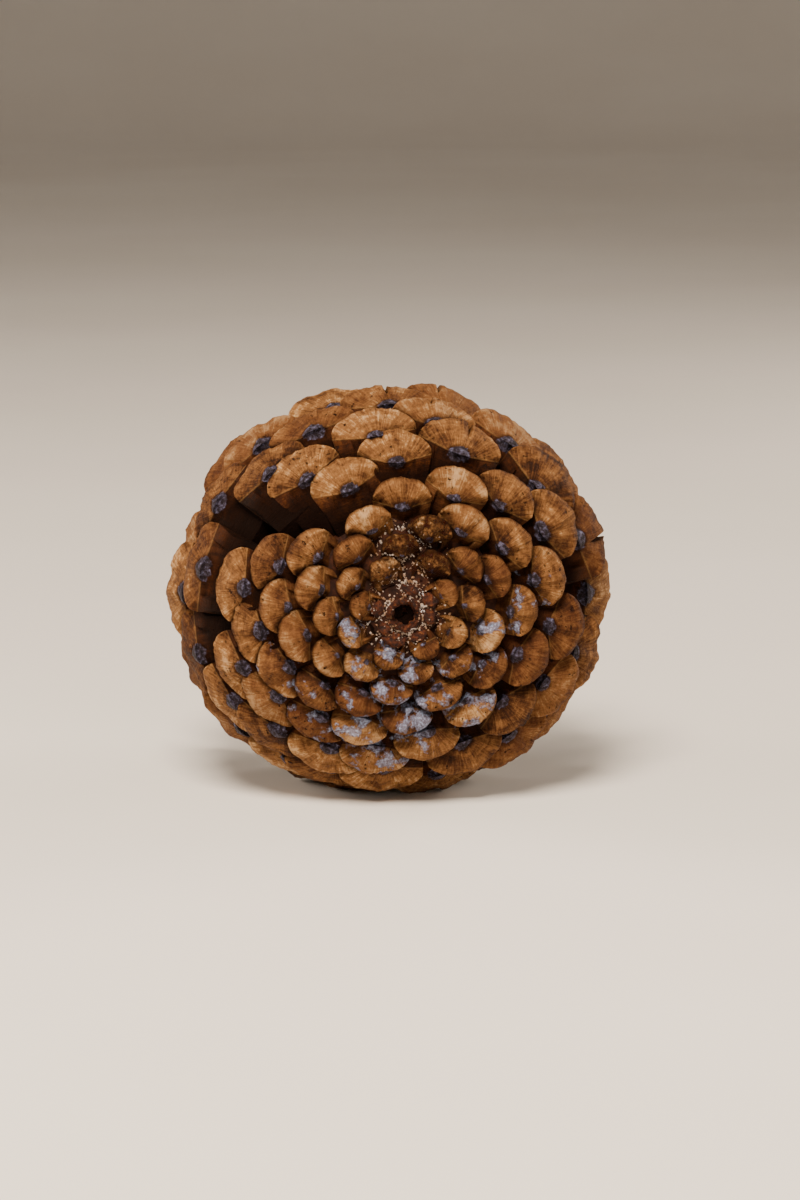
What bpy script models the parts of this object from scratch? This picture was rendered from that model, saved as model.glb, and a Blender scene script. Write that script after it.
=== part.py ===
# An open pine cone that has dropped from its twig and lies on its side.
# +Y runs along the cone from the stalk end to the tip, +Z is up, and the
# origin is below the middle of the cone on the surface that it lies on.
# Metres throughout. Azimuths turn from +X towards +Z round the cone's axis.

import math
import random

import bmesh
import bpy
from mathutils import Matrix, Vector

MM = 0.001

# Phyllotaxis: each scale stands one golden turn on from the one before it.
SCALE_COUNT = 143
FIRST_SCALE = 2  # the two before it are lost in the scar of the stalk
FIRST_AZIMUTH = math.radians(218.0)
GOLDEN_TURN = math.radians(-137.47)
BROKEN_SCALES = (40, 53, 66, 67, 71, 100)  # snapped off short, which leaves dark gaps
ASKEW_SCALES = {43: -4.0, 48: 8.0, 56: 7.0, 61: 6.0, 64: 6.5, 65: -9.0, 73: -7.0}  # degrees off the rule
SEED = 21

# Outline of the cone through the navels of its scales. Latitude is 0 degrees
# at the stalk, 90 on the widest ring and 180 at the tip.
WIDEST_RADIUS = 33.0 * MM
BASE_ROUNDING = 15.5 * MM
TIP_STRETCH = 6.0 * MM
FIRST_LATITUDE = 6.8
LATITUDE_STEP = 0.62
LATITUDE_GROWTH = 3.2e-4
LATITUDE_POWER = 2.5
FLATTENING = 0.95  # the cone is a little lower than wide
STOUT_AZIMUTH = math.radians(205.0)
STOUTNESS = 0.03  # how much stouter the cone is on that side

# How far a shield leans out from the direction of the tip, in degrees.
BASE_LEAN = 108.0
WIDEST_LEAN = 56.0
TIP_LEAN = 12.0
LEAN_LOSS = 10.0  # the cone is closed further on the side of the dark gaps
LEAN_SWING = 16.0
LEAN_SLANT = 4.0

# The woody axis inside, which the scales grow from.
CORE_RADIUS = 5.0 * MM
CORE_TAPER = 0.7
FIRST_ROOT = 2.2 * MM
ROOT_SPAN = 62.0 * MM
ROOT_POWER = 3.1
EARLY_ROOTS = 9.0 * MM
CORE_STEPS = 11
ROOT_SINK = 2.0 * MM

# One scale, as shares of its width.
NARROWEST_SCALE = 3.2 * MM
WIDTH_PER_RADIUS = 0.37
TIP_WIDENING = 2.6 * MM
SHIELD_HEIGHT = 0.50
SHIELD_HEIGHT_LEAST = 0.5 * MM
KEEL_DEPTH = 0.27
KEEL_DEPTH_LEAST = 0.5 * MM
BLADE_THICKNESS = 0.09
BLADE_THICKNESS_LEAST = 0.6 * MM
ROOT_HALF_WIDTH = 0.13
CORNER_LIFT = 0.30
CORNER_DEPTH = 0.25
SPOON_DEPTH = 0.25
NECK_BACK = 0.32
NECK_HALF_WIDTH = 0.40
KEEL_ROUNDING = 1.5
UNDERSIDE_BACK = 0.28
UNDERSIDE_HALF_WIDTH = 0.42
SHIELD_SIDES = 7
KEEL_SIDES = 4
SMALL_SHIELD_SIDES = 6
SMALL_KEEL_SIDES = 3
SMALL_SCALE = 9.0 * MM
FLAT_SCALE = 11.8 * MM  # from this width the shields are flat between keel and margin

# Irregular growth.
AZIMUTH_JITTER = math.radians(2.0)
LIFT_JITTER = math.radians(2.5)
ROLL_JITTER = math.radians(4.0)
WIDTH_JITTER = 0.05

REST_CUT = 0.9 * MM  # how much of the lowest edges is worn flat


def clear_scene():
    for obj in list(bpy.data.objects):
        bpy.data.objects.remove(obj)


def smooth_step(value, low, high):
    share = min(1.0, max(0.0, (value - low) / (high - low)))
    return share * share * (3.0 - 2.0 * share)


def outline(number, azimuth):
    """Latitude of a scale's navel, its radius and its distance along the axis."""
    latitude = FIRST_LATITUDE + LATITUDE_STEP * number
    latitude += LATITUDE_GROWTH * number**LATITUDE_POWER
    rise = 1.0 - math.cos(math.radians(latitude))
    radius = WIDEST_RADIUS * math.sin(math.radians(latitude))
    stout_side = max(0.0, math.cos(azimuth - STOUT_AZIMUTH))
    radius *= 1.0 + STOUTNESS * smooth_step(latitude, 55, 85) * stout_side
    return latitude, radius, BASE_ROUNDING * rise + TIP_STRETCH * rise**3


def growth_warp(azimuth, radius):
    """The real cone grew unevenly: its outer scales crowd towards one side."""
    share = min(1.3, radius / (25.0 * MM))
    swing = -4.6 * math.cos(azimuth) + 5.9 * math.sin(azimuth) + 1.8 * math.cos(2.0 * azimuth)
    return math.radians(swing) * share


def scale_sizes(number, chance):
    """Every size of one scale, and its places in the plane through the axis."""
    azimuth = FIRST_AZIMUTH + GOLDEN_TURN * number
    latitude, radius, along = outline(number, azimuth)
    lean = BASE_LEAN - (BASE_LEAN - WIDEST_LEAN) * smooth_step(latitude, 20, 85)
    lean -= (WIDEST_LEAN - TIP_LEAN) * smooth_step(latitude, 85, 180)
    azimuth += growth_warp(azimuth, radius)
    azimuth += chance.uniform(-1.0, 1.0) * AZIMUTH_JITTER
    azimuth += math.radians(ASKEW_SCALES.get(number, 0.0))
    unevenness = smooth_step(latitude, 20, 45) * (1.0 - smooth_step(latitude, 80, 130))
    swing = LEAN_SWING * math.cos(azimuth) - LEAN_SLANT * math.sin(azimuth) - LEAN_LOSS
    lean = math.radians(lean + unevenness * swing)
    lean += chance.uniform(-1.0, 1.0) * LIFT_JITTER * smooth_step(number, 20, 70)
    roll = chance.uniform(-1.0, 1.0) * ROLL_JITTER

    width = NARROWEST_SCALE + WIDTH_PER_RADIUS * radius
    width += TIP_WIDENING * smooth_step(number, 105, SCALE_COUNT)
    width *= 1.0 + chance.uniform(-1.0, 1.0) * WIDTH_JITTER
    keel = KEEL_DEPTH * width + KEEL_DEPTH_LEAST

    # In this plane x is the distance from the axis and y the way to the tip.
    direction = Vector((math.sin(lean), math.cos(lean)))
    upper = Vector((-math.cos(lean), math.sin(lean)))
    share = number / (SCALE_COUNT - 1)
    root = Vector((
        min(CORE_RADIUS, 0.5 * radius) * (1.0 - CORE_TAPER * smooth_step(latitude, 100, 180)),
        FIRST_ROOT + EARLY_ROOTS * share + (ROOT_SPAN - EARLY_ROOTS) * share**ROOT_POWER,
    ))
    shield = Vector((radius, along)) + upper * keel
    neck = shield - direction * NECK_BACK * (shield - root).length
    stem = (neck - root).normalized()
    return {
        "azimuth": azimuth,
        "roll": roll,
        "root": root,
        "neck": neck,
        "shield": shield,
        "stem": stem,
        "stem_upper": Vector((-stem.y, stem.x)),
        "direction": direction,
        "upper": upper,
        "width": width,
        "height": SHIELD_HEIGHT * width + SHIELD_HEIGHT_LEAST,
        "keel": keel,
        "blade": BLADE_THICKNESS * width + BLADE_THICKNESS_LEAST,
        "bulge": 0.05 + 0.07 * (1.0 - smooth_step(number, 30, 80)),
    }


def loft(bm, first, second):
    """Triangles between two rows of points that run the same way."""
    i = j = 0
    while i < len(first) - 1 or j < len(second) - 1:
        step_first = (i + 1) / max(1, len(first) - 1)
        step_second = (j + 1) / max(1, len(second) - 1)
        if j == len(second) - 1 or (i < len(first) - 1 and step_first <= step_second):
            corners = (first[i], first[i + 1], second[j])
            i += 1
        else:
            corners = (first[i], second[j + 1], second[j])
            j += 1
        if len(set(corners)) == 3:
            bm.faces.new(corners)


def across_steps(count):
    """Places from one corner of a shield to the other, crowded at the corners."""
    return [-math.cos(math.pi * k / count) for k in range(count + 1)]


def margin_point(size, across):
    rise = math.sqrt(max(0.0, 1.0 - across**2))
    lift = CORNER_LIFT + (1.0 - CORNER_LIFT) * rise
    return Vector((
        across * size["width"] / 2.0,
        lift * size["height"],
        -CORNER_DEPTH * size["keel"] * (1.0 - rise),
    ))


def keel_point(size, across):
    fold = 1.0 - abs(across) ** KEEL_ROUNDING
    depth = CORNER_DEPTH + (1.0 - CORNER_DEPTH) * fold
    return Vector((
        across * size["width"] / 2.0,
        CORNER_LIFT * size["height"] * (1.0 - fold),
        -depth * size["keel"],
    ))


def middle_point(size, across):
    """Half way between keel and margin, where the shield swells outward."""
    edge = margin_point(size, across)
    ridge = keel_point(size, across)
    swell = Vector((0.0, edge.z - ridge.z, ridge.y - edge.y))
    if swell.length > 0.0:
        swell.normalize()
    return (edge + ridge) / 2.0 + swell * size["bulge"] * size["height"]


def scale_rows(size):
    """Points of a scale in order from its root over the shield and back below."""
    width = size["width"]
    blade = size["blade"]
    root_half = ROOT_HALF_WIDTH * width
    neck_half = NECK_HALF_WIDTH * width
    under_half = UNDERSIDE_HALF_WIDTH * width
    under = -UNDERSIDE_BACK * size["height"]
    tip = (size["shield"], size["direction"], size["upper"])
    base = (size["root"], size["stem"], size["stem_upper"])
    bend_along = (size["stem"] + size["direction"]).normalized()
    bend_upper = (size["stem_upper"] + size["upper"]).normalized()
    bend = (size["neck"], bend_along, bend_upper)
    small = width < SMALL_SCALE
    sides = across_steps(SMALL_SHIELD_SIDES if small else SHIELD_SIDES)
    across = across_steps(SMALL_KEEL_SIDES if small else KEEL_SIDES)
    rows = {
        "root_top": (base, [(-root_half, -ROOT_SINK, 0.0), (root_half, -ROOT_SINK, 0.0)]),
        "neck_top": (bend, [(-neck_half, 0.0, 0.0), (0.0, 0.0, -SPOON_DEPTH * blade), (neck_half, 0.0, 0.0)]),
        "margin": (tip, [margin_point(size, step) for step in sides]),
        "middle": (tip, [middle_point(size, step) for step in across]),
        "keel": (tip, [keel_point(size, step) for step in across]),
        "underside": (tip, [(-under_half, under, -blade), (0.0, under, -1.4 * blade), (under_half, under, -blade)]),
        "neck_bottom": (bend, [(-neck_half, 0.0, -blade), (neck_half, 0.0, -blade)]),
        "root_bottom": (base, [(-root_half, -ROOT_SINK, -blade), (root_half, -ROOT_SINK, -blade)]),
    }
    del rows["middle" if width > FLAT_SCALE else "neck_bottom"]
    spin = Matrix.Rotation(size["roll"], 3, Vector((0.0, 1.0, 0.0)))
    outward = Vector((math.cos(size["azimuth"]), 0.0, math.sin(size["azimuth"])))
    sideways = Vector((-math.sin(size["azimuth"]), 0.0, math.cos(size["azimuth"])))
    placed = {}
    for name, (frame, points) in rows.items():
        start, along, above = frame
        placed[name] = []
        for point in points:
            side, forward, up = spin @ Vector(point)
            flat = start + along * forward + above * up
            placed[name].append(outward * flat.x + sideways * side + Vector((0.0, flat.y, 0.0)))
    return placed


def make_scale(number, size, collection):
    """One woody scale: a wedge that widens from the axis to a thick shield."""
    bm = bmesh.new()
    place = {name: [bm.verts.new(p) for p in row] for name, row in scale_rows(size).items()}
    for name in ("middle", "keel"):  # these rows end in the shield's corners
        for end in (0, -1):
            if name in place:
                bm.verts.remove(place[name][end])
                place[name][end] = place["margin"][end]
    order = list(place) + ["root_top"]
    for first, second in zip(order, order[1:]):
        loft(bm, place[first], place[second])
    for end in (0, -1):
        above = [place[name][end] for name in ("root_top", "neck_top", "margin")]
        below = [place[name][end] for name in reversed(place) if name not in ("root_top", "neck_top")]
        loft(bm, above, below[:below.index(above[-1]) + 1])
    bmesh.ops.recalc_face_normals(bm, faces=bm.faces)
    mesh = bpy.data.meshes.new(f"scale_{number:03d}")
    bm.to_mesh(mesh)
    bm.free()
    collection.objects.link(bpy.data.objects.new(mesh.name, mesh))


def make_core(collection):
    """The turned axis, with the socket where the stalk broke away."""
    profile = (
        (0.0, 4.0), (1.5, 3.7), (2.1, 1.4), (2.9, 0.9), (6.0, 1.7), (11.0, 2.3), (16.0, 4.0), (17.0, 7.0),
        (15.0, 10.0), (6.4, 16.0), (6.2, 38.0), (5.0, 54.0), (3.4, 66.0), (1.6, 72.0), (0.0, 74.0),
    )
    mesh = bpy.data.meshes.new("pine_cone")
    verts = [(radius * MM, along * MM, 0.0) for radius, along in profile]
    edges = [(k, k + 1) for k in range(len(verts) - 1)]
    mesh.from_pydata(verts, edges, [])
    core = bpy.data.objects.new("pine_cone", mesh)
    collection.objects.link(core)
    turn = core.modifiers.new("turned_axis", "SCREW")
    turn.axis = "Y"
    turn.steps = CORE_STEPS
    turn.render_steps = CORE_STEPS
    turn.use_merge_vertices = True
    turn.merge_threshold = 0.01 * MM
    turn.use_normal_calculate = True
    turn.use_smooth_shade = False
    return core


def join_scales(core, scales):
    """Fuses the scales with the axis, so that the cone is one body."""
    union = core.modifiers.new("fused_scales", "BOOLEAN")
    union.operation = "UNION"
    union.operand_type = "COLLECTION"
    union.collection = scales
    union.solver = "MANIFOLD"
    graph = bpy.context.evaluated_depsgraph_get()
    fused = bpy.data.meshes.new_from_object(core.evaluated_get(graph))
    core.modifiers.clear()
    core.data = fused
    fused.name = "pine_cone"
    for obj in list(scales.objects):
        bpy.data.objects.remove(obj)
    bpy.data.collections.remove(scales)


def keep_outer_body(bm):
    """Fills the hollows that fusing sealed in and drops loose scraps."""
    bodies = []
    waiting = set(bm.faces)
    while waiting:
        body = {waiting.pop()}
        edge_of_body = list(body)
        while edge_of_body:
            face = edge_of_body.pop()
            joins = [edge for edge in face.edges if len(edge.link_faces) == 2]
            near = {other for edge in joins for other in edge.link_faces} & waiting
            waiting -= near
            body |= near
            edge_of_body.extend(near)
        bodies.append(body)
    bodies.sort(key=len)
    for body in bodies[:-1]:
        bmesh.ops.delete(bm, geom=list(body), context="FACES")


def lay_down(core):
    """Wears the lowest edges flat, and puts the origin below the middle."""
    bm = bmesh.new()
    bm.from_mesh(core.data)
    bmesh.ops.triangulate(bm, faces=bm.faces)
    keep_outer_body(bm)
    bmesh.ops.scale(bm, vec=(1.0, 1.0, FLATTENING), verts=bm.verts)
    floor = min(v.co.z for v in bm.verts) + REST_CUT
    everything = bm.verts[:] + bm.edges[:] + bm.faces[:]
    cut = bmesh.ops.bisect_plane(
        bm, geom=everything, plane_co=(0, 0, floor), plane_no=(0, 0, -1), clear_outer=True
    )
    rim = [e for e in cut["geom_cut"] if isinstance(e, bmesh.types.BMEdge)]
    bmesh.ops.triangle_fill(bm, edges=rim, use_beauty=True, use_dissolve=False, normal=(0, 0, -1))
    bmesh.ops.triangulate(bm, faces=bm.faces)
    low = Vector(min(v.co[k] for v in bm.verts) for k in range(3))
    high = Vector(max(v.co[k] for v in bm.verts) for k in range(3))
    middle = (low + high) / 2.0
    bmesh.ops.translate(bm, verts=bm.verts, vec=(-middle.x, -middle.y, -low.z))
    bm.to_mesh(core.data)
    bm.free()


def bark_material():
    material = bpy.data.materials.new("cone_wood")
    material.use_nodes = True
    shader = material.node_tree.nodes["Principled BSDF"]
    shader.inputs["Base Color"].default_value = (0.27, 0.125, 0.045, 1.0)
    shader.inputs["Roughness"].default_value = 0.72
    shader.inputs["Metallic"].default_value = 0.0
    return material


def main():
    clear_scene()
    chance = random.Random(SEED)
    cone = bpy.data.collections.new("pine_cone_parts")
    scales = bpy.data.collections.new("loose_scales")
    for collection in (cone, scales):
        bpy.context.scene.collection.children.link(collection)
    for number in range(FIRST_SCALE, SCALE_COUNT):
        size = scale_sizes(number, chance)
        if number not in BROKEN_SCALES:
            make_scale(number, size, scales)
    core = make_core(cone)
    join_scales(core, scales)
    lay_down(core)
    core.data.materials.clear()
    core.data.materials.append(bark_material())


main()
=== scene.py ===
import math
import random
import bmesh
import bpy
from mathutils import Matrix, Vector, noise
from mathutils.bvhtree import BVHTree


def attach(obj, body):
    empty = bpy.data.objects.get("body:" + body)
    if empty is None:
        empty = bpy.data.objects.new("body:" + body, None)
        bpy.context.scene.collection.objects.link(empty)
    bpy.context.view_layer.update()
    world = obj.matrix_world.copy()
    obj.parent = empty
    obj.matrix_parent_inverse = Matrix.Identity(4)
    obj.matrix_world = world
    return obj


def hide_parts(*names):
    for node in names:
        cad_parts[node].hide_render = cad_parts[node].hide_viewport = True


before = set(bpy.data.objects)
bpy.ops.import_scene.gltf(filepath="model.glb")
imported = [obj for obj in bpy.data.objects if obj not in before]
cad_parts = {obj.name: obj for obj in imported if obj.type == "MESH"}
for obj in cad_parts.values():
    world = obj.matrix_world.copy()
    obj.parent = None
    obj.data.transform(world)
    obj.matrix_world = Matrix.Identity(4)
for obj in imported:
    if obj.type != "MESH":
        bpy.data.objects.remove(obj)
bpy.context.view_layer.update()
# lengths are in mm while a piece is made; finishPiece turns them into metres
mm = 0.001


def smoothStep(value, low, high):
    share = min(1.0, max(0.0, (value - low) / (high - low)))
    return share * share * (3.0 - 2.0 * share)


def mixed(first, second, share):
    return first + (second - first) * share


# small helpers for the materials

def linear(hexColour):  # sRGB hex to the linear colour the shader wants
    parts = [int(hexColour[k:k + 2], 16) / 255.0 for k in (1, 3, 5)]
    return [c / 12.92 if c <= 0.04045 else ((c + 0.055) / 1.055) ** 2.4 for c in parts] + [1.0]


def addNode(tree, kind, links=None, stops=None, **settings):
    made = tree.nodes.new(kind)
    for name, value in settings.items():
        setattr(made, name, value)
    if stops:  # places and hex colours of a colour ramp
        bar = made.color_ramp.elements
        while len(bar) < len(stops):
            bar.new(0.5)
        for stop, (place, colour) in zip(bar, stops):
            stop.position = place
            stop.color = linear(colour)
    for socket, source in (links or {}).items():
        if isinstance(source, bpy.types.NodeSocket):
            tree.links.new(source, made.inputs[socket])
        else:
            made.inputs[socket].default_value = source
    return made


def emptyMaterial(name):
    material = bpy.data.materials.new(name)
    material.use_nodes = True
    return material, material.node_tree, material.node_tree.nodes["Principled BSDF"]


def objectPlace(tree):
    return addNode(tree, "ShaderNodeTexCoord").outputs["Object"]


def stretched(tree, vector, scale):
    return addNode(tree, "ShaderNodeMapping", {"Vector": vector, "Scale": scale}).outputs[0]


def cloudy(tree, vector, scale, detail, roughness):
    return addNode(tree, "ShaderNodeTexNoise", {
        "Vector": vector, "Scale": scale, "Detail": detail, "Roughness": roughness}).outputs["Fac"]


def ranged(tree, value, low, high, toLow=0.0, toHigh=1.0):
    return addNode(tree, "ShaderNodeMapRange", {
        "Value": value, "From Min": low, "From Max": high, "To Min": toLow, "To Max": toHigh}).outputs[0]


def times(tree, first, second):
    return addNode(tree, "ShaderNodeMath", {0: first, 1: second}, operation="MULTIPLY").outputs[0]


def plus(tree, base, value, factor=1.0, **settings):  # the base and so many times the value
    return addNode(tree, "ShaderNodeMath", {0: value, 1: factor, 2: base},
                   operation="MULTIPLY_ADD", **settings).outputs[0]


def coloured(tree, value, stops):
    return addNode(tree, "ShaderNodeValToRGB", {"Fac": value}, stops=stops).outputs[0]


def coated(tree, mask, below, above):
    made = addNode(tree, "ShaderNodeMix", {"Factor": mask, "A": below, "B": above}, data_type="RGBA")
    return made.outputs["Result"]


def relief(tree, height, depth, below=None, strength=1.0, **settings):
    links = {"Height": height, "Strength": strength, "Distance": depth}
    if below:
        links["Normal"] = below
    return addNode(tree, "ShaderNodeBump", links, **settings).outputs[0]


woodLooks = {
    "fanColours": (
        (0.0, "#1F110A"), (0.25, "#412614"), (0.48, "#644225"), (0.72, "#835B35"), (1.0, "#B49168")),
    # the lower field's darker wood, deepened with painted shade because it faces down
    "lipShadedColours": ((0.0, "#120602"), (0.45, "#311606"), (1.0, "#5E3414")),
    # the navel's weathered grey, with a painted bluish sheen in its lightest spots
    "umboColours": ((0.30, "#0F0B0C"), (0.48, "#2A2329"), (0.60, "#4B475A"), (0.76, "#7C80A0")),
    "resinColours": ((0.32, "#4C4650"), (0.5, "#72748A"), (0.68, "#9DAFD2")),
    "redColour": "#55301A",
    # painted highlight along the keel's crest
    "keelHighlightColour": "#D2A063",
    "pitColour": "#1F1008",
    # near-black painted shade, laid on by the deep mask where shade falls among the scales
    "paintedShadeColour": "#0F0502",
    "crustColour": "#34150A",
    # how much each mark lightens the wood, and which sums are the ends of the colour bars
    "toneShares": {"ridges": 0.85, "rings": 0.46, "mottle": 1.65, "specks": 0.50, "tone": 0.40},
    "toneRange": (1.40, 2.32),
    "ridgeStretch": (3.6, 0.30, 1.0),    # ridges 0.3 mm wide at the margin and 3 mm long
    "ringStretch": (0.12, 1.9, 1.0),     # growth rings 0.5 mm apart
    # noise in real size: how many to a metre, detail and roughness
    "mottle": (330.0, 6.0, 0.65),        # patches of 3 mm
    "specks": (2600.0, 3.0, 0.7),        # grains of 0.4 mm
    "pits": (1300.0, 2.0, 0.6),          # pits of 0.8 mm
    "pitFields": (240.0, 1.0, 0.5),      # the pits come in fields of 4 mm
    "umboSpots": (1500.0, 4.0, 0.7),     # spots of 0.7 mm on the navel
    "resinPatches": (310.0, 6.0, 0.58),  # patches of 3 mm
    "crustLumps": (900.0, 6.0, 0.75),    # lumps of 1 mm
    # depth of the relief, in metres
    "ridgeDepth": 0.00026,
    "mottleDepth": 0.0004,
    "speckDepth": 0.00014,
    "pitDepth": 0.0002,
    "crustDepth": 0.0005,
    "resinDepth": 0.0003,
}


def woodMarks(tree):  # the patterns on the wood, and the zones, wear, painted highlight and painted shade that the scales carry
    place = objectPlace(tree)
    grain = addNode(tree, "ShaderNodeAttribute", attribute_name="grainPlace").outputs["Vector"]
    zones = addNode(tree, "ShaderNodeAttribute", attribute_name="woodZones").outputs
    wearAndPaintedLight = addNode(tree, "ShaderNodeAttribute", attribute_name="woodWearAndPaintedLight").outputs
    zoneParts = addNode(tree, "ShaderNodeSeparateColor", {"Color": zones["Color"]}).outputs
    wearAndPaintedLightParts = addNode(tree, "ShaderNodeSeparateColor", {"Color": wearAndPaintedLight["Color"]}).outputs
    # the zones' alpha is each scale's random tone plus the zone's shade; the last attribute holds the painted
    # highlight on the keel, the painted shade, crust and redness
    marks = {
        "fan": zoneParts["Red"], "umbo": zoneParts["Green"], "onResin": zoneParts["Blue"],
        "keel": wearAndPaintedLightParts["Red"], "deep": wearAndPaintedLightParts["Green"], "crusty": wearAndPaintedLightParts["Blue"],
        "tone": zones["Alpha"], "red": wearAndPaintedLight["Alpha"]}
    # ridges run out from the navel: the first number of grainPlace turns round it
    marks["ridges"] = cloudy(tree, stretched(tree, grain, woodLooks["ridgeStretch"]), 1.0, 5.0, 0.62)
    marks["rings"] = cloudy(tree, stretched(tree, grain, woodLooks["ringStretch"]), 1.0, 3.0, 0.5)
    for pattern in ("mottle", "specks", "pits", "pitFields", "umboSpots", "resinPatches", "crustLumps"):
        marks[pattern] = cloudy(tree, place, *woodLooks[pattern])
    marks["pitted"] = times(
        tree, ranged(tree, marks["pits"], 0.60, 0.68), ranged(tree, marks["pitFields"], 0.46, 0.60))
    marks["navel"] = ranged(tree, plus(tree, marks["umbo"], marks["umboSpots"], 0.45), 0.62, 0.92)
    marks["resin"] = ranged(
        tree, plus(tree, marks["onResin"], marks["resinPatches"]), 0.99, 1.05, toHigh=0.85)
    marks["crust"] = ranged(tree, times(tree, marks["crustLumps"], marks["crusty"]), 0.44, 0.60)
    return marks


def woodColour(tree, marks):
    light = 0.0   # this one number picks the place on the colour bars
    for mark, share in woodLooks["toneShares"].items():
        light = plus(tree, light, marks[mark], share)
    light = ranged(tree, light, *woodLooks["toneRange"])
    # below the keel the wood takes the darker lip bar, which carries painted shade
    below = coloured(tree, light, woodLooks["lipShadedColours"])
    wood = coated(tree, marks["fan"], below, coloured(tree, light, woodLooks["fanColours"]))
    wood = coated(tree, times(tree, marks["rings"], marks["red"]), wood, linear(woodLooks["redColour"]))
    # painted highlight: a pale line along the keel's crest
    wood = coated(tree, times(tree, marks["keel"], marks["mottle"]), wood, linear(woodLooks["keelHighlightColour"]))
    wood = coated(tree, marks["pitted"], wood, linear(woodLooks["pitColour"]))
    # painted shade: the deep mask turns the wood near black under the blades, below the keels and in the
    # hollows
    wood = coated(tree, marks["deep"], wood, linear(woodLooks["paintedShadeColour"]))
    # the navel: weathered grey, with a painted bluish sheen
    wood = coated(tree, marks["navel"], wood, coloured(tree, marks["umboSpots"], woodLooks["umboColours"]))
    wood = coated(tree, marks["resin"], wood, coloured(tree, marks["specks"], woodLooks["resinColours"]))
    return coated(tree, marks["crust"], wood, linear(woodLooks["crustColour"]))


def woodRoughness(tree, marks):  # matt, a little smoother on crust and navel, duller where the shade is painted
    rough = ranged(tree, marks["mottle"], 0.3, 0.7, 0.52, 0.74)
    rough = plus(tree, rough, marks["crust"], -0.30)
    rough = plus(tree, rough, marks["navel"], -0.16)
    return plus(tree, rough, marks["deep"], 0.35, use_clamp=True)


def woodRelief(tree, marks):
    surface = relief(tree, marks["ridges"], woodLooks["ridgeDepth"])
    surface = relief(tree, marks["mottle"], woodLooks["mottleDepth"], surface)
    surface = relief(tree, marks["specks"], woodLooks["speckDepth"], surface)
    surface = relief(tree, marks["pitted"], woodLooks["pitDepth"], surface, 0.8, invert=True)
    surface = relief(tree, marks["crust"], woodLooks["crustDepth"], surface)
    return relief(tree, marks["resin"], woodLooks["resinDepth"], surface, 0.8)


def woodyScaleMaterial():
    # dry weathered conifer wood: matt, mottled ochre, ridged outwards from the navel, with a painted
    # highlight on the keel, darker and finely striped below the keel, partly its own darker wood and partly
    # painted shade, near black with painted shade on the blades and in the hollows, greyish where the navel
    # weathered first, with a painted bluish sheen
    material, tree, shader = emptyMaterial("woodyScale")
    marks = woodMarks(tree)
    tree.links.new(woodColour(tree, marks), shader.inputs["Base Color"])
    tree.links.new(woodRoughness(tree, marks), shader.inputs["Roughness"])
    tree.links.new(woodRelief(tree, marks), shader.inputs["Normal"])
    shader.inputs["Specular IOR Level"].default_value = 0.06
    return material


axisLooks = {
    "colours": ((0.25, "#0E0603"), (0.5, "#241008"), (0.75, "#472411")),
    "fibres": (900.0, 160.0, 900.0),   # to a metre: 1 mm wide and 6 mm long
    "depth": 0.0002,
}


def axisMaterial():
    # the cone's woody axis: dark, dry and fibrous, in the shade between the scales
    material, tree, shader = emptyMaterial("coneAxisWood")
    grain = cloudy(tree, stretched(tree, objectPlace(tree), axisLooks["fibres"]), 1.0, 6.0, 0.65)
    tree.links.new(coloured(tree, grain, axisLooks["colours"]), shader.inputs["Base Color"])
    tree.links.new(relief(tree, grain, axisLooks["depth"]), shader.inputs["Normal"])
    shader.inputs["Specular IOR Level"].default_value = 0.15
    shader.inputs["Roughness"].default_value = 0.8
    return material


scarLooks = {
    "colours": ((0.32, "#0A0402"), (0.48, "#2C1208"), (0.62, "#5A2C14"), (0.80, "#94622F")),
    "fibres": (1400.0, 6.0, 0.7),   # torn ends of 0.7 mm
    "depth": 0.0006,
}


def scarMaterial():
    # torn wood fibre soaked with old resin: red-brown, a little glossy
    material, tree, shader = emptyMaterial("stalkScarWood")
    grain = cloudy(tree, objectPlace(tree), *scarLooks["fibres"])
    tree.links.new(coloured(tree, grain, scarLooks["colours"]), shader.inputs["Base Color"])
    tree.links.new(ranged(tree, grain, 0.3, 0.7, 0.35, 0.75), shader.inputs["Roughness"])
    tree.links.new(relief(tree, grain, scarLooks["depth"]), shader.inputs["Normal"])
    shader.inputs["Specular IOR Level"].default_value = 0.22
    return material


crumbLooks = {
    "colours": ((0.30, "#4A2A16"), (0.44, "#7D5A3C"), (0.56, "#A09184"), (0.75, "#BDBAC0")),
    "clouds": (700.0, 4.0, 0.6),   # clouds of 1.4 mm, so each crumb has a shade of its own
    "depth": 0.0002,
}


def crumbMaterial():
    # dried resin crumbs: milky outside, amber where they are thin
    material, tree, shader = emptyMaterial("driedResin")
    cloud = cloudy(tree, objectPlace(tree), *crumbLooks["clouds"])
    tree.links.new(coloured(tree, cloud, crumbLooks["colours"]), shader.inputs["Base Color"])
    tree.links.new(relief(tree, cloud, crumbLooks["depth"], strength=0.8), shader.inputs["Normal"])
    shader.inputs["Roughness"].default_value = 0.5
    return material


# how the cone grew: angles are in degrees

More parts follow.
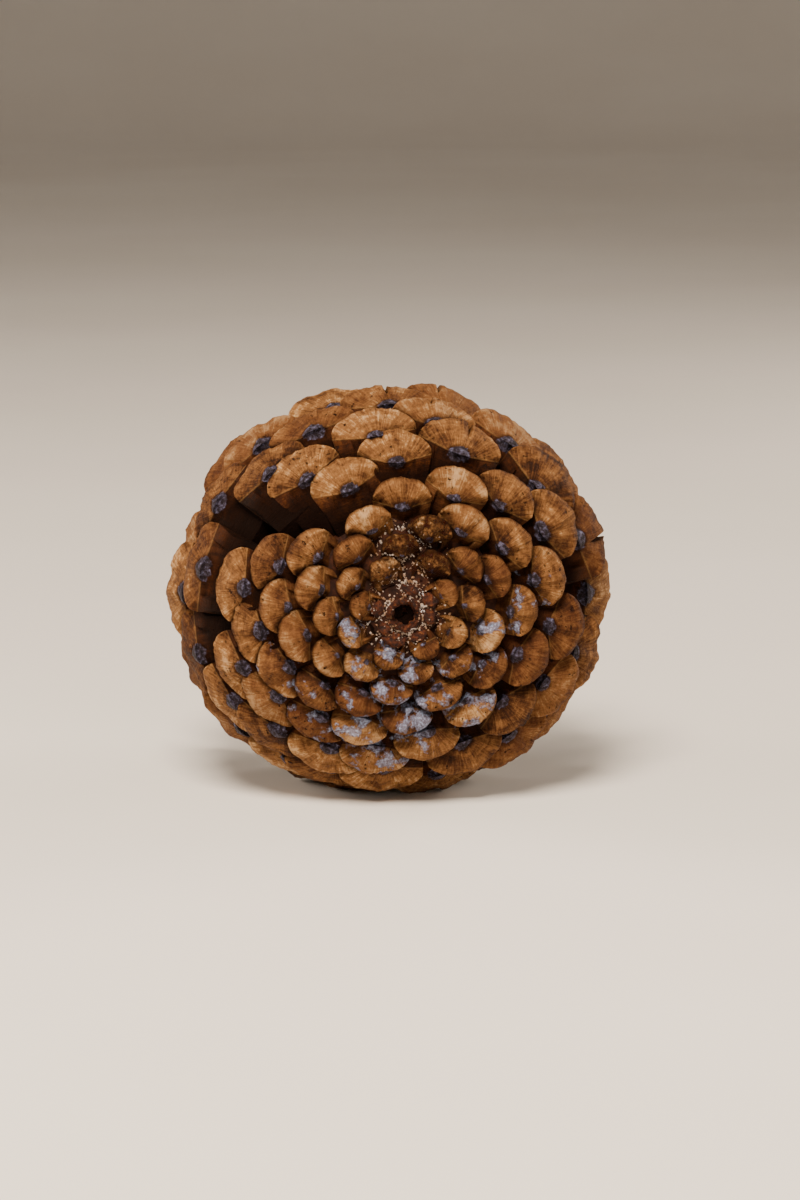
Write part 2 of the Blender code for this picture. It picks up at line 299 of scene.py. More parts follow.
coneGrowth = {
    "scaleCount": 143,
    "firstScale": 2,                        # the two before it are lost in the scar
    "missing": (40, 53, 66, 67, 71, 100),   # broken off, which leaves the dark gaps
    "askew": {43: -4.0, 48: 8.0, 56: 7.0, 61: 6.0, 64: 6.5, 65: -9.0, 73: -7.0},   # off the rule
    "firstAngle": 218.0,
    "goldenTurn": -137.47,
    "seed": 21,
    "latitudes": (6.8, 0.62, 3.2e-4, 2.5),  # from the stalk: first, step, growth of the steps and its power
    "widestRadius": 33.0,
    "roundingAlong": 15.5,
    "tipAlong": 6.0,
    "leans": (108.0, 56.0, 12.0),           # at the base, the widest girth and the tip
    "leanSwing": (16.0, -4.0, -10.0),       # sideways, upwards and all round, at the girth only
    "turnSwing": (-4.6, 5.9, 1.8),          # sideways, upwards and twice round
    "chances": {"turn": 2.0, "lean": 2.5, "roll": 4.0, "width": 0.05},   # the last is a share
    "widths": (3.2, 0.37, 2.6),             # least, for each mm of radius, and extra at the tip
    "keels": (0.27, 0.5),                   # share of the width, and mm more
    "creases": (0.66, 0.28),                # radians from one crease to the next, and their unevenness
    "fullSide": (205.0, 0.03),              # the cone is stouter towards this angle, by this share
    "flattening": 0.95,
    "lieAt": (-1.641, -41.685, 33.201),     # from the axis to the place on the floor
}


def scaleSizes(number, chance):
    firstLatitude, step, growth, power = coneGrowth["latitudes"]
    latitude = firstLatitude + step * number + growth * number ** power
    rise = 1.0 - math.cos(math.radians(latitude))
    angle = math.radians(coneGrowth["firstAngle"] + coneGrowth["goldenTurn"] * number)
    fullAngle, fuller = coneGrowth["fullSide"]
    radius = coneGrowth["widestRadius"] * math.sin(math.radians(latitude))
    towardFull = max(0.0, math.cos(angle - math.radians(fullAngle)))
    radius *= 1.0 + fuller * smoothStep(latitude, 55, 85) * towardFull
    along = coneGrowth["roundingAlong"] * rise + coneGrowth["tipAlong"] * rise ** 3

    # the unevenness: where the scale stands round the axis, how it leans, its roll and its width
    chances = coneGrowth["chances"]
    baseLean, girthLean, tipLean = coneGrowth["leans"]
    lean = baseLean - (baseLean - girthLean) * smoothStep(latitude, 20, 85)
    lean -= (girthLean - tipLean) * smoothStep(latitude, 85, 180)
    sideways, upwards, twice = coneGrowth["turnSwing"]
    swing = sideways * math.cos(angle) + upwards * math.sin(angle) + twice * math.cos(2.0 * angle)
    angle += math.radians(swing) * min(1.3, radius / 25.0)
    angle += chance.uniform(-1.0, 1.0) * math.radians(chances["turn"])
    angle += math.radians(coneGrowth["askew"].get(number, 0.0))
    sideways, upwards, allRound = coneGrowth["leanSwing"]
    atGirth = smoothStep(latitude, 20, 45) * (1.0 - smoothStep(latitude, 80, 130))
    lean += atGirth * (sideways * math.cos(angle) + upwards * math.sin(angle) + allRound)
    lean += chance.uniform(-1.0, 1.0) * chances["lean"] * smoothStep(number, 20, 70)
    roll = chance.uniform(-1.0, 1.0) * math.radians(chances["roll"])
    leastWidth, wider, tipWider = coneGrowth["widths"]
    width = leastWidth + wider * radius + tipWider * smoothStep(number, 105, coneGrowth["scaleCount"])
    width *= 1.0 + chance.uniform(-1.0, 1.0) * chances["width"]
    keel = coneGrowth["keels"][0] * width + coneGrowth["keels"][1]

    # three frames along the blade, each in the plane through the axis: a start, forwards and upwards
    lean = math.radians(lean)
    forward = Vector((math.sin(lean), math.cos(lean)))
    upward = Vector((-math.cos(lean), math.sin(lean)))
    share = number / (coneGrowth["scaleCount"] - 1)
    root = Vector((
        min(5.0, 0.5 * radius) * (1.0 - 0.7 * smoothStep(latitude, 100, 180)),
        2.2 + 9.0 * share + 53.0 * share ** 3.1))
    shield = Vector((radius, along)) + upward * keel
    neck = shield - forward * 0.32 * (shield - root).length
    stem = (neck - root).normalized()
    stemUp = Vector((-stem.y, stem.x))
    creaseStep, uneven = coneGrowth["creases"]
    creases = [creaseStep * k + uneven * noise.noise(Vector((number * 1.7, k, 40.3))) for k in (-1, 0, 1)]
    return {
        "number": number, "angle": angle, "width": width, "keel": keel, "blade": 0.09 * width + 0.6,
        "height": 0.5 * width + 0.5 + 0.8 * (1.0 - smoothStep(number, 10, 50)),
        "bulge": 0.145 + 0.135 * (1.0 - smoothStep(number, 12, 60)),
        "closed": 1.0 - smoothStep(number, 10, 60),   # 1 is a scale that is still shut and rounded
        "creases": creases,
        "tip": (shield, forward, upward),
        "bend": (neck, (stem + forward).normalized(), (stemUp + upward).normalized()),
        "base": (root, stem, stemUp),
        "spin": Matrix.Rotation(roll, 3, Vector((0.0, 1.0, 0.0))),
        "outward": Vector((math.cos(angle), 0.0, math.sin(angle))),
        "sideways": Vector((-math.sin(angle), 0.0, math.cos(angle))),
        "seed": number * 7.31,
    }


def placed(size, where, point):
    start, along, above = size[where]
    side, forward, up = size["spin"] @ Vector(point)
    flat = start + along * forward + above * up
    return size["outward"] * flat.x + size["sideways"] * side + Vector((0.0, flat.y, 0.0))


# one scale: a blade with a shield at its end, which has a domed field above the keel and a short one below

scaleDetail = {
    "columnStep": 0.38,      # mm between points across a shield
    "rowStep": 0.44,         # mm between points from margin to keel
    "neckWide": 0.40,        # shares of the shield's width
    "bellyWide": 0.42,
    "rootWide": 0.13,
    "rootDeep": -2.0,        # mm that the root runs into the axis
    "shoulder": 0.30,        # height of the shield's ends, share of its height
    "endDrop": 0.25,         # how low the keel is there, share of its depth in the middle
    "facets": 0.42,          # mm, broad radial swellings
    "ridges": 0.24,          # mm, finer radial ridges
    "creases": 0.42,         # mm, the straight ridges from the navel to the margin
    "creaseWide": 0.40,      # radians
    "lumps": 0.16,           # mm, uneven growth
    "rings": 0.09,           # mm, growth rings round the navel
    "raggedMargin": 0.045,   # share of the shield's height
    # its waves: how often across the shield, place in the noise and share
    "raggedWaves": ((2.6, 0.0, 1.0), (9.0, 5.0, 0.55), (24.0, 9.0, 0.35)),
    "crackWide": 0.055,      # half width of a crack at the margin, share of the half width
    "umboWide": 0.120,       # half width of the navel, share of the shield's width
    "umboHigh": 0.085,
    "umboRise": 0.32,        # mm
    "resinLumps": (0.45, 0.22),   # mm, broad and small lumps of old resin
}
resinOnScales = {   # share of dried resin on these scales, below the scar
    2: 0.38, 5: 0.44, 8: 0.42, 10: 0.48, 13: 0.49, 15: 0.45, 18: 0.49, 20: 0.40, 23: 0.51, 26: 0.42, 28: 0.42,
    31: 0.49, 33: 0.40, 34: 0.38, 36: 0.49, 39: 0.52, 42: 0.41, 44: 0.40, 46: 0.38, 47: 0.43, 52: 0.47}
crustyScales = {2: 0.7, 3: 0.8, 4: 0.4, 5: 0.6, 6: 0.9, 9: 1.0, 14: 1.0, 19: 0.3, 22: 1.0, 27: 0.3, 35: 0.2}
crackedScales = {   # where across the margin, and how deep, share of the shield's height
    56: (0.3, 0.20), 64: (-0.1, 0.20), 77: (0.12, 0.26), 80: (-0.2, 0.30), 90: (0.0, 0.25), 98: (0.25, 0.28)}
lumpyScales = (22,)   # swollen with old resin


def scaleRows(size):  # stations round a slice: top of the blade, fan, lip, belly, root
    fanRows = max(9, min(18, round(size["height"] / scaleDetail["rowStep"])))
    rows = [("top", s) for s in (0.0, 0.25, 0.5, 0.62, 0.75, 0.87, 0.96)]
    rows += [("fan", 0.0), ("fan", 0.035)]
    rows += [("fan", 0.035 + 0.925 * k / fanRows) for k in range(1, fanRows + 1)]
    rows += [("fan", 1.0)]
    rows += [("lip", s) for s in (0.07, 0.22, 0.42, 0.64, 0.84, 1.0)]
    rows += [("belly", s) for s in (0.25, 0.5, 0.75, 1.0)]
    return rows + [("top", 0.0)]


def marginPlace(size, across):
    rise = math.sqrt(max(0.0, 1.0 - abs(across) ** (2.0 + 0.9 * size["closed"])))
    lift = scaleDetail["shoulder"] + (1.0 - scaleDetail["shoulder"]) * rise
    row = size["number"] * 3.7
    ragged = sum(share * noise.noise(Vector((across * often, row, far)))
                 for often, far, share in scaleDetail["raggedWaves"])
    lift += ragged * scaleDetail["raggedMargin"] * rise
    curl = noise.noise(Vector((across * 1.7, row, 20.0))) * 0.10 * rise
    if size["number"] in crackedScales:
        crackAt, deep = crackedScales[size["number"]]
        lift -= deep * max(0.0, 1.0 - abs(across - crackAt) / scaleDetail["crackWide"])
    return Vector((across * size["width"] / 2.0, lift * size["height"],
                   (-scaleDetail["endDrop"] * (1.0 - rise)) * size["keel"] + curl * size["blade"]))


def keelPlace(size, across):
    fold = 0.72 * (1.0 - abs(across) ** 1.5) + 0.28 * math.exp(-(across / 0.30) ** 2)
    # on a closed scale the navel sits nearer the middle
    outward = scaleDetail["shoulder"] * (1.0 - fold) + 0.26 * size["closed"] * fold
    drop = scaleDetail["endDrop"] + (1.0 - scaleDetail["endDrop"]) * fold
    return Vector((across * size["width"] / 2.0, outward * size["height"], -drop * size["keel"]))


def bellyPlace(size, across):  # where the lower field ends and the underside of the blade begins
    middle = 1.0 - across * across
    return Vector((
        across * scaleDetail["bellyWide"] * size["width"],
        -mixed(0.28, 0.48, size["closed"]) * size["height"],
        -size["blade"] * (1.0 + 0.4 * middle) * mixed(1.0, 0.75, size["closed"])))


def zoneOf(fan=0.0, umbo=0.0, keel=0.0, deep=0.0, shade=0.0):
    return {"fan": fan, "umbo": umbo, "keel": keel, "deep": deep, "shade": shade}


def bladeRoughness(size, share, across):
    return 0.5 * noise.noise(Vector((across * 3.0, share * 4.0, size["seed"])))


def topPoint(size, share, across):  # the upper side of the blade, from the root to the margin
    width, middle = size["width"], 1.0 - across * across
    rough = bladeRoughness(size, share, across)
    neck = placed(size, "bend", (
        across * scaleDetail["neckWide"] * width, 0.0, size["blade"] * (0.25 * rough - 0.25 * middle)))
    if share <= 0.5:
        root = placed(size, "base", (across * scaleDetail["rootWide"] * width, scaleDetail["rootDeep"], 0.0))
        place = mixed(root, neck, share * 2.0)
    else:
        place = mixed(neck, placed(size, "tip", marginPlace(size, across)), share * 2.0 - 1.0)
    # painted shade: the top of the blade goes near black towards the root, deep among the scales
    zone = zoneOf(fan=0.45 * smoothStep(share, 0.65, 0.95), deep=0.96 - 0.62 * smoothStep(share, 0.55, 0.92))
    return place, (across * width / 2.0, share * 14.0, size["seed"]), zone


def bellyPoint(size, share, across):  # the underside of the blade, from the lower field to the root
    width, blade = size["width"], size["blade"]
    rough = bladeRoughness(size, share, across)
    thick = blade * (1.0 - 0.15 * across * across + 0.25 * rough)
    neck = placed(size, "bend", (across * scaleDetail["neckWide"] * width, 0.0, -thick))
    if share <= 0.5:
        place = mixed(placed(size, "tip", bellyPlace(size, across)), neck, share * 2.0)
    else:
        root = placed(size, "base", (
            across * scaleDetail["rootWide"] * width, scaleDetail["rootDeep"], -blade))
        place = mixed(neck, root, share * 2.0 - 1.0)
    # painted shade: the underside of the blade is near black
    zone = zoneOf(deep=0.90 + 0.10 * smoothStep(share, 0.0, 0.2))
    return place, (share * 14.0 + 30.0, across * width / 2.0, size["seed"]), zone


def fanShape(size, share, across):  # the domed upper field, from the margin to the keel
    edge, ridge = marginPlace(size, across), keelPlace(size, across)
    width, height, closed, seed = size["width"], size["height"], size["closed"], size["seed"]
    swell = Vector((0.0, edge.z - ridge.z, ridge.y - edge.y)).normalized()
    point = mixed(edge, ridge, share) + swell * (math.sin(math.pi * share ** 0.70) * size["bulge"] * height)
    reach = Vector((point.x, point.y + 0.25 * height))
    turn, far = math.atan2(reach.x, reach.y), reach.length   # round the navel and away from it
    fade = smoothStep(far, 0.35 * height, 0.8 * height) * min(1.0, 6.0 * (1.0 - share))
    fade *= 0.4 + 0.6 * (1.0 - across * across)
    lift = scaleDetail["facets"] * noise.noise(Vector((turn * 3.4, far * 0.08, seed)))
    lift += scaleDetail["ridges"] * noise.noise(Vector((turn * 15.0, far * 0.15, seed + 4.0)))
    tent = max(max(0.0, 1.0 - abs(turn - crease) / scaleDetail["creaseWide"]) for crease in size["creases"])
    lift += scaleDetail["creases"] * mixed(0.7, 2.2, closed) * (tent - 0.5)
    lift += scaleDetail["lumps"] * noise.noise(Vector((point.x * 0.45, point.y * 0.45, seed + 9.0)))
    lift += scaleDetail["rings"] * noise.noise(Vector((turn, far * 1.3, seed + 13.0)))
    lift *= fade * min(1.0, width / 11.0)
    if share < 0.01:   # the very edge is worn down a little
        lift -= 0.10
    # the keel crest gets a painted highlight and the margin a thin outline of painted shade; the shade lowers
    # the tone towards the keel and at the margin
    zone = zoneOf(
        fan=1.0, keel=mixed(0.28, 0.5, closed) * smoothStep(share, 0.95, 1.0),
        deep=0.55 * (1.0 - smoothStep(share, 0.0, 0.07)),
        shade=-0.45 * smoothStep(share, 0.5, 1.0) - 0.40 * (1.0 - smoothStep(share, 0.0, 0.16)))
    return point, swell, lift, (turn * 7.0, far, seed), zone


def lipShape(size, share, across):  # the short lower field, from the keel to the underside of the blade
    height, closed, seed = size["height"], size["closed"], size["seed"]
    ridge = keelPlace(size, across)
    toward = bellyPlace(size, across) - ridge
    swell = Vector((0.0, -toward.z, toward.y)).normalized()
    if swell.y < 0.0:
        swell.negate()
    point = ridge + toward * share
    lift = (0.07 + 0.13 * closed) * height * math.sin(math.pi * share) * (1.0 - across * across)
    lift += 0.12 * noise.noise(Vector((point.x * 0.5, share * 5.0, seed + 17.0)))
    # painted shade: the lower field faces down, so an open scale's takes the darker lip bar, the deep mask
    # darkens it towards the blade and its tone is lowered; the keel crest gets a painted highlight
    zone = zoneOf(
        fan=mixed(0.04, 0.90, closed) * (1.0 - smoothStep(share, 0.02, 0.6) * mixed(1.0, 0.4, closed)),
        keel=mixed(0.30, 0.5, closed) * (1.0 - smoothStep(share, 0.0, 0.08)),
        deep=mixed(0.85, 0.35, closed) * smoothStep(share, 0.30, 0.95),
        shade=mixed(-0.55, -0.16, closed))
    return point, swell, lift, (share * 6.0 + 30.0, point.x, seed), zone


def navelRise(size, point, zone):  # a low knob with a dimple, in a shallow ring, and its marks
    width, height, seed = size["width"], size["height"], size["seed"]
    away = point - keelPlace(size, 0.0) - Vector((0.0, 0.05 * height, 0.03 * height))
    big = mixed(0.60, 1.0, smoothStep(width, 5.5, 10.5))   # how large it is on this scale
    big *= 1.0 + 0.25 * noise.noise(Vector((seed, 2.0, 3.0)))
    ring = math.hypot(away.x / (scaleDetail["umboWide"] * width + 0.25),
                      math.hypot(away.y, away.z) / (scaleDetail["umboHigh"] * width + 0.20)) / big
    ring *= 1.0 + 0.25 * noise.noise(Vector((away.x * 0.9, away.y * 0.9, seed)))
    if ring >= 1.6:
        return 0.0
    rise = max(0.0, 1.0 - ring * ring) ** 0.8 - 0.35 * math.exp(-(ring / 0.30) ** 2)
    rise -= 0.35 * math.exp(-((ring - 1.15) / 0.18) ** 2)
    # painted shade in the groove round the navel
    zone["deep"] = max(zone["deep"], 0.75 * math.exp(-((ring - 1.08) / 0.17) ** 2))
    zone["umbo"] = (1.0 - smoothStep(ring, 0.85, 1.2)) * mixed(0.85, 1.0, smoothStep(width, 5.5, 9.0))
    zone["keel"] *= smoothStep(ring, 0.9, 1.3)
    return rise * scaleDetail["umboRise"] * min(1.0, width / 9.0)


def slicePoint(size, part, share, across):
    if part == "top":
        return topPoint(size, share, across)
    if part == "belly":
        return bellyPoint(size, share, across)
    shape = fanShape if part == "fan" else lipShape
    point, swell, lift, grain, zone = shape(size, share, across)
    lift += navelRise(size, point, zone)
    if size["number"] in lumpyScales:
        broad, small = scaleDetail["resinLumps"]
        lift += broad * noise.noise(point * 0.75) + small * noise.noise(point * 1.9)
    return placed(size, "tip", point + swell * lift), grain, zone


def growScale(bm, size, layers):
    chance = random.Random(size["number"] * 31 + 5)
    tone = chance.random()
    redness = chance.random() ** 2
    columns = max(16, min(40, round(size["width"] / scaleDetail["columnStep"])))
    rows = scaleRows(size)
    last = len(rows) - 1
    grid = bmesh.ops.create_grid(bm, x_segments=columns, y_segments=last, size=1.0)
    resin = resinOnScales.get(size["number"], 0.0)
    crusty = crustyScales.get(size["number"], 0.0)
    for vert in grid["verts"]:
        part, share = rows[round((vert.co.y + 1.0) / 2.0 * last)]
        across = 0.45 * vert.co.x + 0.55 * math.sin(math.pi / 2.0 * vert.co.x)   # closer towards the ends
        across = max(-1.0, min(1.0, across))
        place, grain, zone = slicePoint(size, part, share, across)
        vert.co = place
        vert[layers["grain"]] = grain
        onResin = resin if part in ("fan", "lip") else 0.0
        # alpha: the scale's random tone plus the zone's shade; the last colour: painted keel highlight,
        # painted shade, crust and redness
        vert[layers["zones"]] = (zone["fan"], zone["umbo"], onResin, tone + zone["shade"])
        vert[layers["wearAndPaintedLight"]] = (min(1.0, zone["keel"]), zone["deep"], crusty, redness)
    bmesh.ops.remove_doubles(bm, verts=grid["verts"], dist=0.004)
    verts = [v for v in grid["verts"] if v.is_valid]
    rims = {e for v in verts for e in v.link_edges if e.is_boundary}
    sides = bmesh.ops.holes_fill(bm, edges=list(rims), sides=0)["faces"]
    bmesh.ops.triangulate(bm, faces=sides)


def layDown(bm):  # the cone lies on its side, squeezed a little by its own weight
    bmesh.ops.scale(bm, vec=(1.0, 1.0, coneGrowth["flattening"]), verts=bm.verts)
    bmesh.ops.translate(bm, vec=coneGrowth["lieAt"], verts=bm.verts)
    whole = bm.verts[:] + bm.edges[:] + bm.faces[:]
    cut = bmesh.ops.bisect_plane(bm, geom=whole, plane_co=(0, 0, 0), plane_no=(0, 0, -1), clear_outer=True)
    rim = [e for e in cut["geom_cut"] if isinstance(e, bmesh.types.BMEdge)]
    if rim:
        bmesh.ops.holes_fill(bm, edges=rim, sides=0)


# painted shade in the hollows: short rays from each point find how close the neighbouring scales stand
paintedHollowShade = {
    "rays": 5,
    "slant": 55.0,       # degrees from straight out
    "standOff": 0.06,    # mm, so that a ray misses the face it starts on
    "reach": 3.8,        # mm
    "strength": 1.7,
    "most": 0.92,
}


def nearness(whole, vert):  # 0 in the open, 1 where the neighbours touch
    reach, slant, rays = paintedHollowShade["reach"], math.radians(paintedHollowShade["slant"]), paintedHollowShade["rays"]
    side = vert.normal.orthogonal().normalized()
    other = vert.normal.cross(side)
    start = vert.co + vert.normal * paintedHollowShade["standOff"]
    near = 0.0
    for k in range(rays):
        turn = math.tau * k / rays
        flat = side * math.cos(turn) + other * math.sin(turn)
        far = whole.ray_cast(start, flat * math.sin(slant) + vert.normal * math.cos(slant), reach)[3]
        if far is not None:
            near += (1.0 - far / reach) / rays
    return near


def paintShadeInHollows(pieces):  # painted shade where the neighbouring scales stand close
    corners, faces = [], []
    for piece in pieces:
        bm = piece["mesh"]
        bmesh.ops.recalc_face_normals(bm, faces=bm.faces)
        bm.verts.index_update()
        first = len(corners)
        corners += [vert.co[:] for vert in bm.verts]
        faces += [[first + vert.index for vert in face.verts] for face in bm.faces]
    whole = BVHTree.FromPolygons(corners, faces)
    for piece in pieces:
        wearAndPaintedLight = piece["layers"]["wearAndPaintedLight"]
        for vert in piece["mesh"].verts:
            keel, deep, crusty, redness = vert[wearAndPaintedLight]
            if deep <= paintedHollowShade["most"]:
                hollowShadeShare = min(paintedHollowShade["most"], paintedHollowShade["strength"] * nearness(whole, vert))
                vert[wearAndPaintedLight] = (keel, max(deep, hollowShadeShare), crusty, redness)


def finishPiece(bm, name, material, smoothAngle=None):
    bmesh.ops.recalc_face_normals(bm, faces=bm.faces)
    for face in bm.faces:
        face.smooth = True
    if smoothAngle:
        for edge in bm.edges:
            edge.smooth = edge.calc_face_angle(0.0) < math.radians(smoothAngle)
    bmesh.ops.scale(bm, vec=(mm, mm, mm), verts=bm.verts)
    mesh = bpy.data.meshes.new(name)
    bm.to_mesh(mesh)
    bm.free()
    mesh.materials.append(material)
    piece = bpy.data.objects.new(name, mesh)
    bpy.context.scene.collection.objects.link(piece)
    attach(piece, "root")
    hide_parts("pine_cone")
    return piece


print("making the materials")
woodyScale = woodyScaleMaterial()
axisWood = axisMaterial()
scarWood = scarMaterial()
driedResin = crumbMaterial()

print("growing the scales")
chance = random.Random(coneGrowth["seed"])
sizes = [scaleSizes(number, chance) for number in range(coneGrowth["firstScale"], coneGrowth["scaleCount"])]
sizes = [size for size in sizes if size["number"] not in coneGrowth["missing"]]
pieceRanges = {"base_scales": (0, 46), "girth_scales": (46, 92), "tip_scales": (92, 999)}
surfaces = []   # what the crumbs can fall on
pieces = []
for pieceName, (first, end) in pieceRanges.items():
    bm = bmesh.new()
    layers = {
        "grain": bm.verts.layers.float_vector.new("grainPlace"),
        "zones": bm.verts.layers.float_color.new("woodZones"),
        "wearAndPaintedLight": bm.verts.layers.float_color.new("woodWearAndPaintedLight"),
    }
    for size in sizes:
        if first <= size["number"] < end:
            growScale(bm, size, layers)
    layDown(bm)
    if pieceName == "base_scales":
        surfaces.append(BVHTree.FromBMesh(bm))
    print(pieceName, len(bm.faces), "faces,", len(bm.calc_loop_triangles()), "triangles")
    pieces.append({"name": pieceName, "mesh": bm, "layers": layers})

print("darkening the hollows")
paintShadeInHollows(pieces)
for piece in pieces:
    finishPiece(piece["mesh"], piece["name"], woodyScale, smoothAngle=40)


def turned(profile, cuts, steps):  # a line of distances from the axis and places along it, spun round
    bm = bmesh.new()
    verts = [bm.verts.new((radius, along, 0.0)) for radius, along in profile]
    edges = [bm.edges.new(pair) for pair in zip(verts, verts[1:])]
    bmesh.ops.subdivide_edges(bm, edges=edges, cuts=cuts)
    bmesh.ops.spin(
        bm, geom=bm.verts[:] + bm.edges[:], cent=(0, 0, 0), axis=(0, 1, 0),
        angle=math.tau, steps=steps, use_merge=True)
    bmesh.ops.remove_doubles(bm, verts=bm.verts, dist=0.001)
    return bm


def putInOrder(bm):  # spin leaves its faces in any order, and this one is the same each run
    bm.verts.index_update()
    count = len(bm.verts)
    bm.faces.sort(key=lambda face: face.verts[0].index * count + face.verts[2].index)
    bm.faces.index_update()


coneAxis = {
    "profile": (
        (0.0, 4.0), (1.5, 3.7), (2.1, 1.4), (2.9, 0.9), (6.0, 1.7), (11.0, 2.3), (16.0, 4.0), (17.0, 7.0),
        (15.0, 10.0), (6.4, 16.0), (6.2, 38.0), (5.0, 54.0), (3.4, 66.0), (1.6, 72.0), (0.0, 74.0)),
    "steps": 64,
    "lumps": 0.5,
    "lumpsAlong": 0.5,       # how far a lump pushes along the axis, in mm, and out from it, as a share
    "lumpsOutward": 0.06,
}


def makeAxis():
    bm = turned(coneAxis["profile"], 3, coneAxis["steps"])
    for vert in bm.verts:
        radius = math.hypot(vert.co.x, vert.co.z)
        lump = noise.noise(vert.co * 0.8) * coneAxis["lumps"] * smoothStep(radius, 0.0, 1.5)
        vert.co.y += coneAxis["lumpsAlong"] * lump
        vert.co.x *= 1.0 + coneAxis["lumpsOutward"] * lump
        vert.co.z *= 1.0 + coneAxis["lumpsOutward"] * lump
    layDown(bm)
    putInOrder(bm)
    surfaces.append(BVHTree.FromBMesh(bm))
    return finishPiece(bm, "cone_axis", axisWood)


stalkScar = {
    "profile": (
        (3.4, 1.5), (2.9, 0.7), (2.4, 0.25), (2.0, 0.5), (1.7, 1.3),
        (1.3, 2.3), (0.9, 2.6), (0.4, 2.3), (0.0, 2.5)),
    "steps": 56,
    "torn": 1.1,        # mm that the torn rim stands out and in
    "fibres": 0.6,
    "roughness": 0.16,
    "wall": 2.0,        # mm that its outer wall runs in
}


def noiseVector(place):  # noise_vector starts from the clock, and this gives the same each run
    return Vector([noise.noise(place + Vector((0.0, 0.0, 20.0 * k))) for k in range(3)])


def makeScar():  # the torn end of the stalk, a ragged ring round a hollow
    bm = turned(stalkScar["profile"], 2, stalkScar["steps"])
    for vert in bm.verts:
        turn = math.atan2(vert.co.z, vert.co.x)
        radius = math.hypot(vert.co.x, vert.co.z)
        torn = noise.noise(Vector((math.cos(turn) * 2.2, math.sin(turn) * 2.2, radius * 0.4)))
        fibre = noise.noise(Vector((math.cos(turn) * 9.0, math.sin(turn) * 9.0, radius * 0.8)))
        onRing = smoothStep(radius, 0.8, 2.2) * (1.0 - smoothStep(radius, 2.8, 3.4))
        vert.co.y -= (stalkScar["torn"] * torn + stalkScar["fibres"] * fibre) * onRing
        vert.co += noiseVector(vert.co * 1.7) * stalkScar["roughness"]
    wall = bmesh.ops.extrude_edge_only(bm, edges=[e for e in bm.edges if e.is_boundary])["geom"]
    foot = [v for v in wall if isinstance(v, bmesh.types.BMVert)]
    bmesh.ops.translate(bm, verts=foot, vec=(0.0, stalkScar["wall"], 0.0))
    bmesh.ops.holes_fill(bm, edges=[e for e in bm.edges if e.is_boundary], sides=0)
    layDown(bm)
    putInOrder(bm)
    surfaces.append(BVHTree.FromBMesh(bm))
    return finishPiece(bm, "stalk_scar", scarWood)


pressedScales = {   # pairs are for the first and the last
    "count": 7, "seed": 7, "angle": 250.0,
    "radius": (4.6, 3.8), "width": (3.8, 2.6), "along": (1.2, 1.0),
    "shape": (0.80, 0.50, 1.0),   # outwards, through and across, shares of the width
    "lumps": (0.46, 0.16),
}


def makePressedScales():  # the smallest scales, pressed flat round the stalk
    bm = bmesh.new()
    chance = random.Random(pressedScales["seed"])
    outwards, through, across = pressedScales["shape"]
    broad, small = pressedScales["lumps"]
    for k in range(pressedScales["count"]):
        share = k / (pressedScales["count"] - 1)
        angle = math.radians(pressedScales["angle"] - coneGrowth["goldenTurn"] * k)
        wide = mixed(*pressedScales["width"], share) / 2.0 * chance.uniform(0.85, 1.15)
        stretch = Matrix.Diagonal((wide * outwards, wide * through, wide * across, 1.0))
        tilt = Matrix.Rotation(math.radians(chance.uniform(-25, 25)), 4, "Y")
        lean = Matrix.Rotation(math.radians(chance.uniform(-22, -6)), 4, "Z")
        spot = Vector((mixed(*pressedScales["radius"], share), mixed(*pressedScales["along"], share), 0.0))
        made = bmesh.ops.create_icosphere(bm, subdivisions=3, radius=1.0)["verts"]
        for vert in made:
            lump = 1.0 + broad * noise.noise(vert.co * 1.9 + Vector((k * 5.0, 0, 0)))
            lump += small * noise.noise(vert.co * 5.0 + Vector((k * 5.0, 3, 0)))
            vert.co *= lump
        setUp = Matrix.Rotation(-angle, 4, "Y") @ Matrix.Translation(spot) @ tilt @ lean @ stretch
        bmesh.ops.transform(bm, matrix=setUp, verts=made)
    layDown(bm)
    surfaces.append(BVHTree.FromBMesh(bm))
    return finishPiece(bm, "pressed_scales", scarWood)


resinCrumbs = {
    "tries": 2400,
    "seed": 3,
    "size": (0.06, 0.24),          # mm
    "spread": (2.2, 7.5),          # mm from the middle of the scar
    "trail": (88.0, 4.0, 15.0),    # every third lies along this direction, between these distances
    "trailWide": 13.0,             # degrees
    "probe": 0.7,                  # mm to the places that a hollow is compared with
    "hollow": 0.10,                # mm that it is deeper than they are
    "strays": 0.03,                # share of the crumbs that stay elsewhere
}


def firstHit(middle, radius, angle):  # what a line along the axis meets first
    start = middle + Vector((radius * math.cos(angle), -70.0, radius * math.sin(angle)))
    hits = [tree.ray_cast(start, Vector((0.0, 1.0, 0.0))) for tree in surfaces]
    return min((hit for hit in hits if hit[0] is not None), key=lambda hit: hit[3], default=None)


def addCrumb(bm, chance, spot, normal):
    size = mixed(*resinCrumbs["size"], chance.random() ** 2.2)
    made = bmesh.ops.create_icosphere(bm, subdivisions=1, radius=size)["verts"]
    for vert in made:
        vert.co *= chance.uniform(0.7, 1.25)
    wide, deep, high = chance.uniform(0.7, 1.4), chance.uniform(0.6, 1.0), chance.uniform(0.7, 1.3)
    squash = Matrix.Diagonal((wide, deep, high, 1.0))
    turn = Matrix.Rotation(chance.uniform(0.0, math.tau), 4, "Y")
    sunk = Matrix.Translation(spot - normal * size * 0.1)
    bmesh.ops.transform(bm, matrix=sunk @ turn @ squash, verts=made)


